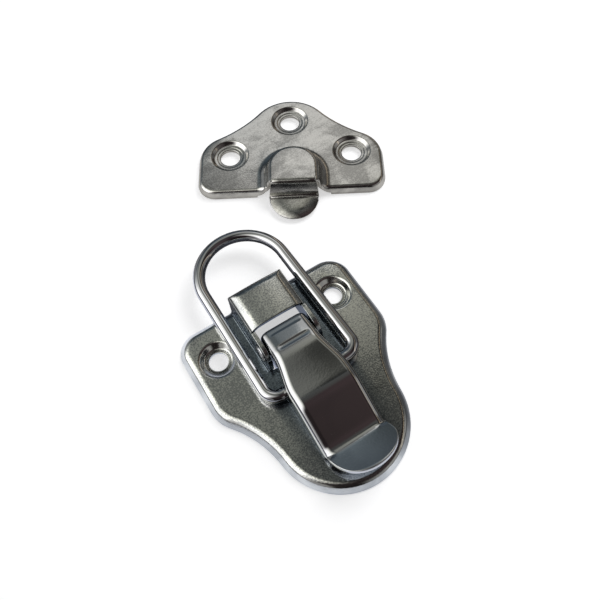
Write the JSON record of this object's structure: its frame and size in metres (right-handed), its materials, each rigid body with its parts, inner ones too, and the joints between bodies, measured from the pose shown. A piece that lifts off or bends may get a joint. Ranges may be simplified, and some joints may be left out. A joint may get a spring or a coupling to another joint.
{
  "type": "draw latch with catch plate",
  "caption": "Plated pressed-steel draw latch for a folding table: a dished base plate with hood and over-centre lever, a wire bail, and the domed catch plate it hooks over.",
  "frame": {"origin": "midway between the base plate's two ear screw holes, on the mounting plane under both plates", "axes": "+Z out of the panel that the latch is screwed to, +Y the way the latch pulls the catch plate, +X to the right seen from the lever's end"},
  "size_m": [0.0666, 0.0907, 0.0095],
  "materials": {
    "satin_plate": "bright plating over a fine-grained pressed face",
    "bright_wire": "mirror-bright plating",
    "bright_lever": "bright plating with a fine grain",
    "catch_finish": "warm bright plating with a fine grain"
  },
  "bodies": {
    "base": {"base_plate": "satin_plate", "hinge_pin": "bright_wire", "catch_plate": "catch_finish"},
    "lever": {"lever": "bright_lever"},
    "bail": {"bail": "bright_wire"}
  },
  "joints": [
    {"name": "lever_hinge", "type": "hinge", "parent": "base", "child": "lever", "pos_m": [0, -0.0048, 0.0052], "axis": [-1, 0, 0], "range_deg": [0, 82]},
    {"name": "bail_pivot", "type": "hinge", "parent": "lever", "child": "bail", "pos_m": [0, -0.014, 0.0044], "axis": [-1, 0, 0], "range_deg": [-82, 0]}
  ],
  "couplings": [
    {"joint": "bail_pivot", "follows": "lever_hinge", "ratio": -1}
  ]
}
